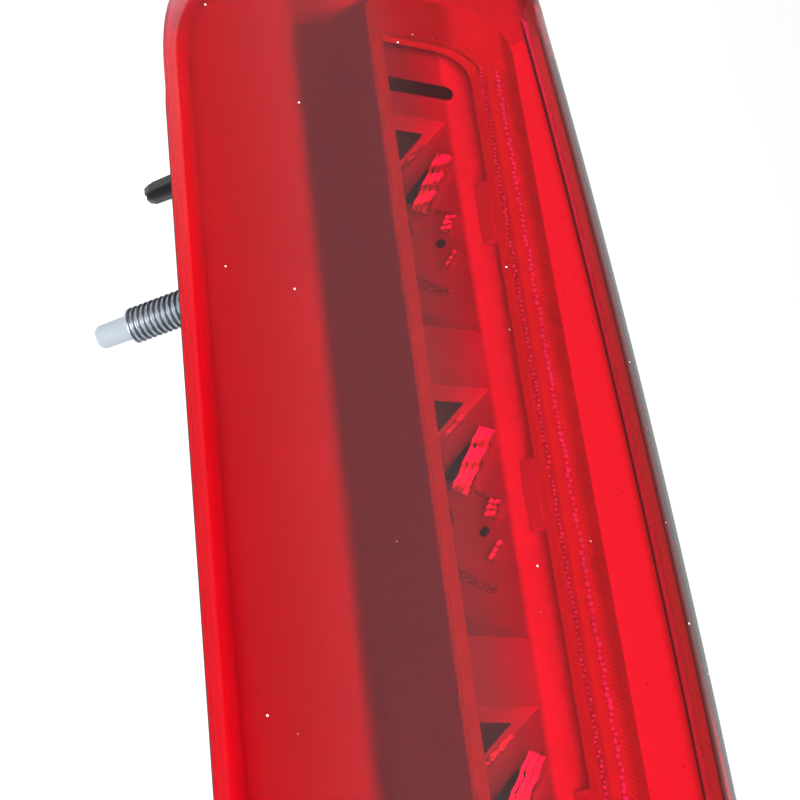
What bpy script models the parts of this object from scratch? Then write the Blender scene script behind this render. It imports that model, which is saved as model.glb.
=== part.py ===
"""High-level brake lamp: wedge-shaped red lens, black housing, five bulbs in twist-lock holders.

Metres. X runs along the lamp, Y from the thin edge to the thick edge, Z away from the vehicle.
The mounting face is z = 0, and the origin is midway between the two studs on it.
"""
import math

import bmesh
import bpy
from mathutils import Matrix, Vector

# ---- overall size -------------------------------------------------------------------------
LENS_HALF_LENGTH = 0.162
LENS_WIDTH = 0.0643
Y_THIN = -0.022                # where the thin edge lies in the frame: the studs are on y = 0
RIM_Z = 0.0055                 # lower rim of the lens above the mounting face
SKIRT_HEIGHT = 0.003           # upright edge of the lens at its thin side
FACE_TILT = math.radians(40.4)
THIN_CORNER_R = 0.038
THICK_CORNER_R = 0.014
ARCH_R = 2.31                  # plan radius of the thick edge
CREASE_W = 0.0542              # face meets bevel, measured from the thin edge
BEVEL_TILT = math.radians(20.0)
BEVEL_LENGTH = 0.0049
NOSE_R = 0.004
LENS_WALL = 0.0025
LENS_SIDE_WALL = 0.002
THIN_ROUND = 0.0009
END_ROUND = 0.0026
# ---- housing ------------------------------------------------------------------------------
GAP = 0.0003
BASE_BOTTOM = 0.0040
BASE_LEDGE = 0.0055
BASE_TOP = 0.0065
LEDGE_INSET = 0.0029
BASE_INSET = 0.0084
BOX_HALF_LENGTH = 0.148
BOX_W_LOW = 0.0282
BOX_W_HIGH = 0.0494
BOX_WALL = 0.002
BOX_R_LOW = 0.0045
BOX_R_HIGH = 0.0085
WINDOW_HALF_LENGTH = 0.1385
WINDOW_W_HIGH = 0.0442
WINDOW_R = 0.005
WELD_FLANGE = 0.0016
WELD_STEP = 0.0004
BEAD_THICKNESS = 0.0008
SHELF_SLOPE = 0.25
SHELF_THICKNESS = 0.0010
# ---- cells, bulbs and holders -------------------------------------------------------------
CELL_COUNT = 5
CELL_PITCH = 0.052
BULB_W = 0.0366
CUP_HALF_LENGTH = 0.0212
CUP_W_LOW = 0.0314
CUP_W_HIGH = 0.0417
CUP_THROAT_HALF_X = 0.0085
CUP_THROAT_HALF_W = 0.0052
CUP_BOTTOM_Z = 0.0165
CUP_WALL = 0.0009
FLANGE_DROP = 0.0088           # vertical distance from the lens face down to the reflector's rim
FLANGE_THICKNESS = 0.0012
HOLE_R = 0.0062
NECK_R = 0.0059
NECK_TOP = 0.0096
LUG_REACH = 0.0068
LUG_WIDTH = 0.0026
HOLDER_FLANGE_R = 0.0086
HOLDER_BOTTOM = -0.0036
GLASS_R = 0.0046
GLASS_TIP_Z = 0.028
GLASS_WALL = 0.0006
TWIST_UNLOCK = math.radians(45.0)
# ---- fixings ------------------------------------------------------------------------------
STUD_X = 0.0944
STUD_W = 0.022
STUD_TIP_Z = -0.0226
STUD_R = 0.003
STUD_ROOT_R = 0.0026
STUD_DOG_R = 0.002
STUD_DOG_LENGTH = 0.0055
STUD_PITCH = 0.001
STUD_BOSS_R = 0.0052
REST_PAD_R = 0.0045
PEG_X = 0.1185
PEG_TIP_Z = -0.0118
PEG_RIB = 0.0013

# ---- electrics ----------------------------------------------------------------------------
INLET_X = 0.132
PIN_SPACING = 0.0062
VENT_X = -0.026
VENT_STEM_R = 0.002
BUS_THICKNESS = 0.0005

ROUND = 20
SMALL_ROUND = 14
ARCH_STEPS = 22
CORNER_STEPS = 9


# ---- helpers ------------------------------------------------------------------------------
def clear_scene():
    for item in list(bpy.data.objects):
        bpy.data.objects.remove(item, do_unlink=True)


def make_collection(name):
    group = bpy.data.collections.new(name)
    bpy.context.scene.collection.children.link(group)
    return group


def make_material(name, color, roughness, metallic=0.0):
    mat = bpy.data.materials.new(name)
    mat.use_nodes = True
    shader = mat.node_tree.nodes["Principled BSDF"]
    shader.inputs["Base Color"].default_value = (color[0], color[1], color[2], 1.0)
    shader.inputs["Roughness"].default_value = roughness
    shader.inputs["Metallic"].default_value = metallic
    return mat


def to_object(name, bm, mat, group, smooth=False, pivot=None):
    bmesh.ops.remove_doubles(bm, verts=bm.verts, dist=1e-6)
    bmesh.ops.recalc_face_normals(bm, faces=bm.faces)
    if pivot is not None:
        bmesh.ops.translate(bm, verts=bm.verts, vec=-Vector(pivot))
    mesh = bpy.data.meshes.new(name)
    bm.to_mesh(mesh)
    bm.free()
    mesh.materials.append(mat)
    item = bpy.data.objects.new(name, mesh)
    group.objects.link(item)
    if pivot is not None:
        item.location = pivot
    if smooth:
        mesh.shade_smooth()
        mesh.set_sharp_from_angle(angle=math.radians(35.0))
    return item


def add_boolean(item, cutter, operation):
    mod = item.modifiers.new(operation.lower(), "BOOLEAN")
    mod.operation = operation
    mod.solver = "EXACT"
    mod.object = cutter


def loft(bm, loops, cap_first=True, cap_last=True, ring=False):
    """Join equal loops of points with quads; a ring joins the last loop to the first."""
    rows = [[bm.verts.new(p) for p in loop] for loop in loops]
    pairs = list(zip(rows[:-1], rows[1:]))
    if ring:
        pairs.append((rows[-1], rows[0]))
    count = len(rows[0])
    for low, high in pairs:
        for i in range(count):
            j = (i + 1) % count
            bm.faces.new((low[i], low[j], high[j], high[i]))
    if not ring and cap_first:
        bm.faces.new(list(reversed(rows[0])))
    if not ring and cap_last:
        bm.faces.new(rows[-1])


def add_box(bm, low, high):
    """Axis-aligned box from two corners."""
    size = Vector(high) - Vector(low)
    centre = (Vector(high) + Vector(low)) / 2
    bmesh.ops.create_cube(bm, size=1.0, matrix=Matrix.Translation(centre) @ Matrix.Diagonal(size.to_4d()))


def add_cylinder(bm, centre, radius, z_low, z_high, steps):
    place = Matrix.Translation((centre[0], centre[1], (z_low + z_high) / 2))
    bmesh.ops.create_cone(bm, cap_ends=True, segments=steps, radius1=radius, radius2=radius,
                          depth=z_high - z_low, matrix=place)


def turned(name, profile, centre, steps, mat, group, closed=False, smooth=False):
    """Object turned about a vertical axis from (radius, z) points that run down its outer side."""
    mesh = bpy.data.meshes.new(name)
    count = len(profile)
    edges = [(i, i + 1) for i in range(count - 1)]
    if closed:
        edges.append((count - 1, 0))
    mesh.from_pydata([(radius, 0.0, z) for radius, z in profile], edges, [])
    mesh.materials.append(mat)
    item = bpy.data.objects.new(name, mesh)
    item.location = (centre[0], centre[1], 0.0)
    group.objects.link(item)
    mod = item.modifiers.new("turn", "SCREW")
    mod.axis = "Z"
    mod.steps = steps
    mod.render_steps = steps
    mod.use_merge_vertices = True
    mod.merge_threshold = 0.00001
    mod.use_smooth_shade = smooth
    return item


def face_z(w):
    """Height of the lens face over a point w from the thin edge."""
    return RIM_Z + SKIRT_HEIGHT + w * math.tan(FACE_TILT)


def lens_under_z(w):
    return face_z(w) - LENS_WALL / math.cos(FACE_TILT)


def point(x, w, z):
    return (x, Y_THIN + w, z)


def arch(x):
    return x * x / (2 * ARCH_R)


# ---- lens outline: (x, w, inward normal, zone), zone 0 thin side, 1 end, 2 thick side -------
def smoothstep(t):
    return t * t * (3 - 2 * t)


def lens_outline():
    half = LENS_HALF_LENGTH
    pts = []
    start = half - THIN_CORNER_R
    for i in range(5):
        pts.append((-start + start * i / 2.5, 0.0, 0.0, 1.0, 0.0))
    pts = pts[:-1]
    for i in range(CORNER_STEPS + 1):
        a = -math.pi / 2 + math.pi / 2 * i / CORNER_STEPS
        pts.append((start + THIN_CORNER_R * math.cos(a), THIN_CORNER_R + THIN_CORNER_R * math.sin(a),
                    -math.cos(a), -math.sin(a), smoothstep(i / CORNER_STEPS)))
    slope = (half - THICK_CORNER_R) / ARCH_R
    end_angle = math.pi / 2 - math.atan(slope)
    cx = half - THICK_CORNER_R
    xe = cx + THICK_CORNER_R * math.cos(end_angle)
    cw = LENS_WIDTH - arch(xe) - THICK_CORNER_R * math.sin(end_angle)
    for i in range(CORNER_STEPS + 1):
        a = end_angle * i / CORNER_STEPS
        pts.append((cx + THICK_CORNER_R * math.cos(a), cw + THICK_CORNER_R * math.sin(a),
                    -math.cos(a), -math.sin(a), 1.0 + smoothstep(i / CORNER_STEPS)))
    for i in range(1, ARCH_STEPS):
        x = xe - 2 * xe * i / ARCH_STEPS
        length = math.hypot(x / ARCH_R, 1.0)
        pts.append((x, LENS_WIDTH - arch(x), -x / ARCH_R / length, -1.0 / length, 2.0))
    right = [p for p in pts if p[0] > 1e-6 and (p[4] > 0 or p[0] >= start - 1e-9)]
    side = [p for p in right if p[4] < 2.0 or p[0] >= xe - 1e-9]
    for x, w, nx, nw, zone in reversed(side):
        pts.append((-x, w, -nx, nw, zone))
    return dedupe(pts)


def dedupe(pts):
    out = []
    for p in pts:
        if all(math.hypot(p[0] - q[0], p[1] - q[1]) > 1e-5 for q in out):
            out.append(p)
    return out


def blend(zone, thin, end, thick):
    """Linear mix of three tables by zone."""
    if zone <= 1.0:
        return [a + (b - a) * zone for a, b in zip(thin, end)]
    return [a + (b - a) * (zone - 1.0) for a, b in zip(end, thick)]


def edge_tables():
    """Per loop: (inset, drop below the face) for thin side, end and thick side, outer then inner."""
    crease_z = face_z(CREASE_W)
    tangent = Vector((CREASE_W + BEVEL_LENGTH * math.cos(BEVEL_TILT),
                      crease_z + BEVEL_LENGTH * math.sin(BEVEL_TILT)))
    normal = Vector((-math.sin(BEVEL_TILT), math.cos(BEVEL_TILT)))
    centre = tangent - NOSE_R * normal
    last = math.pi / 2 + BEVEL_TILT
    steps = 5
    outer = []
    inner = []
    for i in range(steps + 1):
        a = last * i / steps
        n = Vector((math.cos(a), math.sin(a)))
        p = centre + NOSE_R * n
        q = centre + (NOSE_R - LENS_WALL) * n
        outer.append(p)
        inner.append(q)
    face_normal = Vector((-math.sin(FACE_TILT), math.cos(FACE_TILT)))
    middle = (face_normal + normal).normalized()
    crease = Vector((CREASE_W, crease_z))
    outer.append(crease)
    inner.append(crease - middle * LENS_WALL / math.cos((FACE_TILT - BEVEL_TILT) / 2))
    shift = LENS_WIDTH - outer[0].x
    tables = []
    drop = LENS_WALL / math.cos(FACE_TILT)
    count = len(outer)
    for k in range(count):
        a = math.pi / 2 * k / (count - 1)
        thin = (THIN_ROUND * (1 - math.cos(a)), -THIN_ROUND * (1 - math.sin(a)))
        end = (END_ROUND * (1 - math.cos(a)), -END_ROUND * (1 - math.sin(a)))
        thick = (LENS_WIDTH - outer[k].x - shift, outer[k].y - face_z(outer[k].x))
        thin_in = (LENS_SIDE_WALL + thin[0] / 2, thin[1] / 2 - drop)
        end_in = (LENS_WALL + end[0] / 2, end[1] / 2 - drop)
        thick_in = (LENS_WIDTH - inner[k].x - shift, inner[k].y - face_z(inner[k].x))
        tables.append((thin, end, thick, thin_in, end_in, thick_in))
    return tables


def build_lens(group, mat):
    outline = lens_outline()
    tables = edge_tables()
    outer = [[point(x, w, RIM_Z) for x, w, _, _, _ in outline]]
    for thin, end, thick, _, _, _ in tables:
        loop = []
        for x, w, nx, nw, zone in outline:
            inset, dz = blend(zone, thin, end, thick)
            wi = w + nw * inset
            loop.append(point(x + nx * inset, wi, face_z(wi) + dz))
        outer.append(loop)
    inner = []
    for _, _, _, thin, end, thick in tables:
        loop = []
        for x, w, nx, nw, zone in outline:
            inset, dz = blend(zone, thin, end, thick)
            wi = w + nw * inset
            loop.append(point(x + nx * inset, wi, face_z(wi) + dz))
        inner.append(loop)
    foot = []
    for x, w, nx, nw, zone in outline:
        inset = blend(zone, tables[0][3], tables[0][4], tables[0][5])[0]
        foot.append(point(x + nx * inset, w + nw * inset, RIM_Z))
    inner.insert(0, foot)
    bm = bmesh.new()
    loops = list(reversed(outer)) + inner
    loft(bm, loops)
    return to_object("lens", bm, mat, group, smooth=True)


def inset_outline(inset):
    return [(x + nx * inset, w + nw * inset) for x, w, nx, nw, _ in lens_outline()]


def rounded_outline(half, low, high, r_low, r_high, steps=5):
    """Rectangle from low to high across the lamp, with its own radius at either side."""
    pts = []
    for cx, cw, r, first in ((half - r_low, low + r_low, r_low, -90), (half - r_high, high - r_high, r_high, 0)):
        for i in range(steps + 1):
            a = math.radians(first + 90 * i / steps)
            pts.append((cx + r * math.cos(a), cw + r * math.sin(a)))
    return pts + [(-x, w) for x, w in reversed(pts)]


def box_outline(grow):
    """Plan of the inner wall, moved outward by grow."""
    return rounded_outline(BOX_HALF_LENGTH + grow, BOX_W_LOW - grow, BOX_W_HIGH + grow,
                           BOX_R_LOW + grow, BOX_R_HIGH + grow)


def window_outline(grow):
    """Plan of the opening inside the weld flange, moved outward by grow."""
    return rounded_outline(WINDOW_HALF_LENGTH + grow, BOX_W_LOW + BOX_WALL - grow, WINDOW_W_HIGH + grow,
                           0.0012 + grow, WINDOW_R + grow)


def prism(bm, outline, z_low, z_high):
    loft(bm, [[point(x, w, z_low) for x, w in outline], [point(x, w, z_high) for x, w in outline]])


def cell_positions():
    middle = (CELL_COUNT - 1) / 2
    return [(k - middle) * CELL_PITCH for k in range(CELL_COUNT)]


# ---- housing ------------------------------------------------------------------------------
def wall_top(w):
    return lens_under_z(w) - 2 * GAP - BEAD_THICKNESS


def sloped_ring(bm, outer, inner, low_z, high_z):
    """Ring between two outlines whose faces follow the heights given by w."""
    loft(bm, [
        [point(x, w, low_z(w)) for x, w in outer],
        [point(x, w, high_z(w)) for x, w in outer],
        [point(x, w, high_z(w)) for x, w in inner],
        [point(x, w, low_z(w)) for x, w in inner]], ring=True)


def add_peg(bm, x, w):
    """Cross-ribbed tapered locating peg with a chamfered tip."""
    levels = ((BASE_BOTTOM + 0.0008, 0.0024), (PEG_TIP_Z + 0.0012, 0.0019), (PEG_TIP_Z, 0.0013))
    t = PEG_RIB / 2
    loops = []
    for z, reach in levels:
        cross = [(reach, -t), (reach, t), (t, t), (t, reach), (-t, reach), (-t, t), (-reach, t), (-reach, -t),
                 (-t, -t), (-t, -reach), (t, -reach), (t, -t)]
        loops.append([point(x + cx, w + cw, z) for cx, cw in cross])
    loft(bm, loops)


def build_housing(group, cutters, mat):
    bm = bmesh.new()
    prism(bm, inset_outline(LEDGE_INSET), BASE_LEDGE, BASE_TOP)
    base = to_object("housing", bm, mat, group)

    bm = bmesh.new()
    prism(bm, inset_outline(BASE_INSET), BASE_BOTTOM, (BASE_LEDGE + BASE_TOP) / 2)
    add_boolean(base, to_object("housing_body", bm, mat, cutters), "UNION")

    bm = bmesh.new()
    sloped_ring(bm, box_outline(0.0), box_outline(-BOX_WALL), lambda w: BASE_TOP - 0.0006, wall_top)
    add_boolean(base, to_object("housing_walls", bm, mat, cutters), "UNION")

    bm = bmesh.new()
    sloped_ring(bm, box_outline(-BOX_WALL / 4), window_outline(0.0), lambda w: wall_top(w) - WELD_FLANGE,
                lambda w: wall_top(w) - WELD_STEP)
    add_boolean(base, to_object("housing_weld_flange", bm, mat, cutters), "UNION")

    bm = bmesh.new()
    for side in (-1, 1):
        add_peg(bm, side * PEG_X, STUD_W)
        add_cylinder(bm, point(side * STUD_X, STUD_W, 0), STUD_BOSS_R, 0.0, BASE_BOTTOM + 0.0008, ROUND)
    add_cylinder(bm, point(0, STUD_W, 0), REST_PAD_R, 0.0, BASE_BOTTOM + 0.0008, ROUND)
    add_boolean(base, to_object("housing_pegs", bm, mat, cutters), "UNION")

    low = -0.001
    high = BASE_TOP + 0.001
    bm = bmesh.new()
    for x in cell_positions():
        add_cylinder(bm, point(x, BULB_W, 0), HOLE_R, low, high, ROUND)
    for side in (-1, 1):
        add_cylinder(bm, point(side * STUD_X, STUD_W, 0), STUD_R + GAP, low, high, ROUND)
    add_cylinder(bm, point(VENT_X, BULB_W, 0), VENT_STEM_R + GAP, low, high, SMALL_ROUND)
    for side in (-1, 1):
        px, py, _ = point(INLET_X + side * PIN_SPACING / 2, BULB_W, 0)
        add_box(bm, (px - 0.0018, py - 0.0009, low), (px + 0.0018, py + 0.0009, high))
    add_boolean(base, to_object("housing_holes", bm, mat, cutters), "DIFFERENCE")

    bm = bmesh.new()
    reach = LUG_REACH + 0.0004
    half = LUG_WIDTH / 2 + 0.0003
    for x in cell_positions():
        cx, cy, _ = point(x, BULB_W, 0)
        turn = Matrix.Translation((cx, cy, (BASE_BOTTOM + BASE_TOP) / 2)) @ Matrix.Rotation(TWIST_UNLOCK, 4, "Z")
        size = Matrix.Diagonal((2 * reach, 2 * half, 0.0047, 1.0))
        bmesh.ops.create_cube(bm, size=1.0, matrix=turn @ size)
    add_boolean(base, to_object("housing_keyways", bm, mat, cutters), "DIFFERENCE")
    return base


def build_weld_bead(group, mat):
    """Fused bead between the weld flange and the underside of the lens."""
    bm = bmesh.new()
    sloped_ring(bm, box_outline(-0.0003), window_outline(0.0003),
                lambda w: lens_under_z(w) - GAP - BEAD_THICKNESS, lambda w: lens_under_z(w) - GAP)
    return to_object("lens_weld_bead", bm, mat, group)


def build_rim_seal(group, mat):
    bm = bmesh.new()
    sloped_ring(bm, inset_outline(0.0031), inset_outline(0.0043), lambda w: BASE_TOP + GAP,
                lambda w: BASE_TOP + GAP + 0.0005)
    return to_object("rim_seal", bm, mat, group)


def build_gasket(group, mat):
    bm = bmesh.new()
    sloped_ring(bm, inset_outline(0.0090), inset_outline(0.0130), lambda w: 0.0, lambda w: BASE_BOTTOM - GAP)
    return to_object("foam_gasket", bm, mat, group)


# ---- shelf --------------------------------------------------------------------------------
def shelf_z(w):
    return BASE_TOP + 0.0020 + (w - 0.005) * SHELF_SLOPE


def build_shelf(group, cutters, mat):
    """Pale plate under the thin side and both ends of the lens."""
    outline = inset_outline(0.0046)
    bm = bmesh.new()
    loft(bm, [
        [point(x, w, shelf_z(w) - SHELF_THICKNESS) for x, w in outline],
        [point(x, w, shelf_z(w)) for x, w in outline]])
    shelf = to_object("inner_shelf", bm, mat, group)
    bm = bmesh.new()
    prism(bm, box_outline(0.0005), 0.0, 0.05)
    add_boolean(shelf, to_object("shelf_opening", bm, mat, cutters), "DIFFERENCE")
    bm = bmesh.new()
    add_box(bm, point(-0.2, 0.046, -0.01), point(0.2, 0.08, 0.06))
    add_boolean(shelf, to_object("shelf_back", bm, mat, cutters), "DIFFERENCE")
    return shelf


# ---- reflector ----------------------------------------------------------------------------
def flange_z(w):
    return face_z(w) - FLANGE_DROP


def rectangle(x, half_x, w_low, w_high, z_of_w):
    return [point(x - half_x, w_low, z_of_w(w_low)), point(x + half_x, w_low, z_of_w(w_low)),
            point(x + half_x, w_high, z_of_w(w_high)), point(x - half_x, w_high, z_of_w(w_high))]


def add_cup(bm, x, grow, top_extra, bottom_extra):
    """Funnel from the sloping rectangular mouth to the throat round the bulb."""
    def top(w):
        return flange_z(w) + top_extra

    def bottom(_):
        return CUP_BOTTOM_Z - bottom_extra
    loft(bm, [
        rectangle(x, CUP_THROAT_HALF_X + grow, BULB_W - CUP_THROAT_HALF_W - grow,
                  BULB_W + CUP_THROAT_HALF_W + grow, bottom),
        rectangle(x, CUP_HALF_LENGTH + grow, CUP_W_LOW - grow, CUP_W_HIGH + grow, top)])


def build_reflector(group, cutters, mat):
    outline = box_outline(-BOX_WALL - GAP)
    bm = bmesh.new()
    loft(bm, [
        [point(x, w, flange_z(w) - FLANGE_THICKNESS) for x, w in outline],
        [point(x, w, flange_z(w)) for x, w in outline]])
    plate = to_object("reflector", bm, mat, group)
    bm = bmesh.new()
    for x in cell_positions():
        add_cup(bm, x, CUP_WALL * 0.7, -FLANGE_THICKNESS / 2, 0.0)
    add_boolean(plate, to_object("reflector_cups", bm, mat, cutters), "UNION")
    bm = bmesh.new()
    for x in cell_positions():
        add_cup(bm, x, 0.0, 0.0005, 0.0005)
    add_boolean(plate, to_object("reflector_hollows", bm, mat, cutters), "DIFFERENCE")
    return plate


def build_clip(index, x, group, mat):
    """Rectangular snap tab that holds the reflector's rim beside a cup."""
    low_w = 0.0440
    high_w = 0.0468
    half = 0.0060
    centre = x - 0.0025
    bm = bmesh.new()
    loft(bm, [
        rectangle(centre, half, low_w, high_w, lambda w: flange_z(w) + GAP),
        rectangle(centre, half, low_w, high_w, lambda w: flange_z(w) + GAP + 0.0022)])
    return to_object("reflector_clip_%d" % index, bm, mat, group)


# ---- fixings ------------------------------------------------------------------------------
def stud_profile():
    """Radius and height down the outer side: collar, plain neck, thread ridges, dog point."""
    collar = BASE_TOP + GAP
    profile = [(0.0, collar + 0.0018), (0.006, collar + 0.0018), (0.006, collar), (STUD_R, collar)]
    z = -0.0006
    profile.append((STUD_R, z))
    last = STUD_TIP_Z + STUD_DOG_LENGTH + STUD_PITCH
    while z > last:
        profile.append((STUD_ROOT_R, z - STUD_PITCH / 2))
        profile.append((STUD_R, z - STUD_PITCH))
        z -= STUD_PITCH
    profile.append((STUD_DOG_R, z - 0.0008))
    profile.append((STUD_DOG_R, STUD_TIP_Z + 0.0005))
    profile.append((STUD_DOG_R - 0.0004, STUD_TIP_Z))
    profile.append((0.0, STUD_TIP_Z))
    return profile


def build_stud(name, side, group, mat):
    return turned(name, stud_profile(), point(side * STUD_X, STUD_W, 0), SMALL_ROUND, mat, group)


# ---- bulbs and holders --------------------------------------------------------------------
def dome_profile(radius):
    """Quarter circle from the bulb's tip down to its widest radius."""
    middle = GLASS_TIP_Z - GLASS_R
    angles = (90, 72, 50, 26, 0)
    return [(radius * math.cos(math.radians(a)) if a < 90 else 0.0, middle + radius * math.sin(math.radians(a)))
            for a in angles]


def build_bulb_glass(index, x, group, cutters, mat):
    cx, cy, _ = point(x, BULB_W, 0)
    outside = dome_profile(GLASS_R) + [(GLASS_R, 0.0125), (0.0043, 0.0110), (0.0034, 0.0100), (0.0, 0.0100)]
    glass = turned("bulb_glass_%d" % index, outside, (cx, cy), SMALL_ROUND, mat, group, smooth=True)
    bm = bmesh.new()
    add_box(bm, (cx - 0.0042, cy - 0.0012, 0.0026), (cx + 0.0042, cy + 0.0012, 0.0105))
    add_boolean(glass, to_object("glass_wedge_%d" % index, bm, mat, cutters), "UNION")
    r = GLASS_R - GLASS_WALL
    inside = dome_profile(r) + [(r, 0.0134), (0.0036, 0.0122), (0.0007, 0.0118), (0.0007, 0.0020), (0.0, 0.0020)]
    hollow = turned("glass_hollow_%d" % index, inside, (cx, cy), SMALL_ROUND, mat, cutters)
    add_boolean(glass, hollow, "DIFFERENCE")
    return glass


def add_rod(bm, start, end, radius, steps=6):
    start = Vector(start)
    end = Vector(end)
    axis = end - start
    turn = axis.to_track_quat("Z", "Y").to_matrix().to_4x4()
    place = Matrix.Translation((start + end) / 2) @ turn
    bmesh.ops.create_cone(bm, cap_ends=True, segments=steps, radius1=radius, radius2=radius,
                          depth=axis.length, matrix=place)


def build_filament(index, x, group, cutters, mat):
    """Stem, two support wires and the coiled filament across their tips."""
    cx, cy, _ = point(x, BULB_W, 0)
    profile = ((0.0, 0.0146), (0.0014, 0.0146), (0.0014, 0.0134), (0.0004, 0.0130), (0.0004, 0.0030), (0.0, 0.0030))
    stem = turned("bulb_filament_%d" % index, profile, (cx, cy), 8, mat, group)
    bm = bmesh.new()
    for side in (-1, 1):
        add_rod(bm, (cx + side * 0.0009, cy, 0.0142), (cx + side * 0.0024, cy, 0.0216), 0.00022)
    add_boolean(stem, to_object("filament_wires_%d" % index, bm, mat, cutters), "UNION")
    bm = bmesh.new()
    add_rod(bm, (cx - 0.0026, cy, 0.0215), (cx + 0.0026, cy, 0.0215), 0.00034, 8)
    add_boolean(stem, to_object("filament_coil_%d" % index, bm, mat, cutters), "UNION")
    return stem


def build_holder(index, x, group, cutters, mat):
    """Twist-lock holder: neck, two lugs above the base, flange and grip bar below it."""
    cx, cy, _ = point(x, BULB_W, 0)
    profile = ((0.0, NECK_TOP), (NECK_R, NECK_TOP), (NECK_R, 0.0024), (HOLDER_FLANGE_R, 0.0023),
               (HOLDER_FLANGE_R, 0.0011), (HOLDER_FLANGE_R - 0.0008, 0.0005), (0.0, 0.0005))
    holder = turned("bulb_holder_%d" % index, profile, (cx, cy), ROUND, mat, group)
    bm = bmesh.new()
    lug_low = BASE_TOP + GAP
    add_box(bm, (cx - LUG_REACH, cy - LUG_WIDTH / 2, lug_low), (cx + LUG_REACH, cy + LUG_WIDTH / 2, lug_low + 0.0018))
    add_boolean(holder, to_object("holder_lugs_%d" % index, bm, mat, cutters), "UNION")
    bm = bmesh.new()
    add_box(bm, (cx - 0.0070, cy - 0.0019, HOLDER_BOTTOM), (cx + 0.0070, cy + 0.0019, 0.0010))
    add_boolean(holder, to_object("holder_grip_%d" % index, bm, mat, cutters), "UNION")
    bm = bmesh.new()
    add_box(bm, (cx - 0.0047, cy - 0.0024, 0.0020), (cx + 0.0047, cy + 0.0024, NECK_TOP + 0.001))
    add_boolean(holder, to_object("holder_slot_%d" % index, bm, mat, cutters), "DIFFERENCE")
    return holder


def build_holder_seal(index, x, group, mat):
    high = BASE_BOTTOM - GAP
    inner = NECK_R + GAP
    outer = HOLDER_FLANGE_R - 0.0004
    low = 0.0026
    profile = ((outer, high), (outer, low), (inner, low), (inner, high))
    return turned("holder_seal_%d" % index, profile, point(x, BULB_W, 0), ROUND, mat, group, closed=True)


def build_holder_contact(name, x, side, group, mat):
    """Spring blade that presses on one face of the bulb's wedge base."""
    cx, cy, _ = point(x, BULB_W, 0)
    middle_x = side * 0.001
    middle_y = side * 0.0018
    bm = bmesh.new()
    add_box(bm, (cx + middle_x - 0.0032, cy + middle_y - 0.0003, 0.0024),
            (cx + middle_x + 0.0032, cy + middle_y + 0.0003, 0.0092))
    return to_object(name, bm, mat, group, pivot=(cx, cy, 0.0))


# ---- electrics ----------------------------------------------------------------------------


def add_tongue(bm, x, half, w_start, w_low, w_high, z, lift):
    """Contact tongue that steps up from the strip and reaches towards the bulb."""
    top = z + lift + BUS_THICKNESS
    foot = z + BUS_THICKNESS / 2
    section = [(w_start, z + lift), (w_start, top), (w_high, top), (w_high, foot), (w_low, foot), (w_low, z + lift)]
    if lift == 0.0:
        section = [(w_start, z), (w_start, top), (w_high, top), (w_high, z)]
    loft(bm, [[point(x - half, w, h) for w, h in section], [point(x + half, w, h) for w, h in section]])


def build_busbar(name, w_low, w_high, side, lift, group, cutters, mat):
    """Flat strip along the cells with a contact tongue at each holder and one at the inlet."""
    z = BASE_TOP + GAP
    end = INLET_X + side * PIN_SPACING / 2
    first = cell_positions()[0] - 0.004
    bm = bmesh.new()
    add_box(bm, point(first, w_low, z), point(end + 0.0015, w_high, z + BUS_THICKNESS))
    strip = to_object(name, bm, mat, group)
    margin = 0.0002
    bm = bmesh.new()
    for x in cell_positions():
        add_tongue(bm, x + side * 0.0022, 0.0012, BULB_W + HOLE_R + 0.0006, w_low + margin, w_high - margin, z, lift)
    add_tongue(bm, end, 0.0012, BULB_W + 0.0008, w_low + margin, w_high - margin, z, lift)
    add_boolean(strip, to_object(name + "_tongues", bm, mat, cutters), "UNION")
    return strip


def build_inlet(group, cutters, mat):
    cx, cy, _ = point(INLET_X, BULB_W, 0)
    top = BASE_BOTTOM - GAP
    bm = bmesh.new()
    add_box(bm, (cx - 0.0090, cy - 0.0062, -0.0110), (cx + 0.0090, cy + 0.0062, top))
    socket = to_object("connector_socket", bm, mat, group)
    bm = bmesh.new()
    add_box(bm, (cx - 0.0076, cy - 0.0048, -0.0120), (cx + 0.0076, cy + 0.0048, -0.0002))
    add_boolean(socket, to_object("inlet_hollow", bm, mat, cutters), "DIFFERENCE")
    bm = bmesh.new()
    for side in (-1, 1):
        px = cx + side * PIN_SPACING / 2
        add_box(bm, (px - 0.0017, cy - 0.0007, -0.0012), (px + 0.0017, cy + 0.0007, top + 0.001))
    add_boolean(socket, to_object("inlet_slots", bm, mat, cutters), "DIFFERENCE")
    return socket


def build_pin(name, side, group, mat):
    cx, cy, _ = point(INLET_X + side * PIN_SPACING / 2, BULB_W, 0)
    bm = bmesh.new()
    add_box(bm, (cx - 0.0014, cy - 0.0004, -0.0085), (cx + 0.0014, cy + 0.0004, BASE_TOP + 0.0012))
    return to_object(name, bm, mat, group)


def build_vent(group, mat):
    low = BASE_BOTTOM - GAP
    profile = ((0.0, BASE_TOP + 0.0012), (0.0013, BASE_TOP + 0.0012), (VENT_STEM_R, BASE_TOP + 0.0006),
               (VENT_STEM_R, low), (0.0040, low), (0.0040, -0.0006), (0.0030, -0.0012), (0.0, -0.0012))
    return turned("vent_cap", profile, point(VENT_X, BULB_W, 0), SMALL_ROUND, mat, group)


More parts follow.
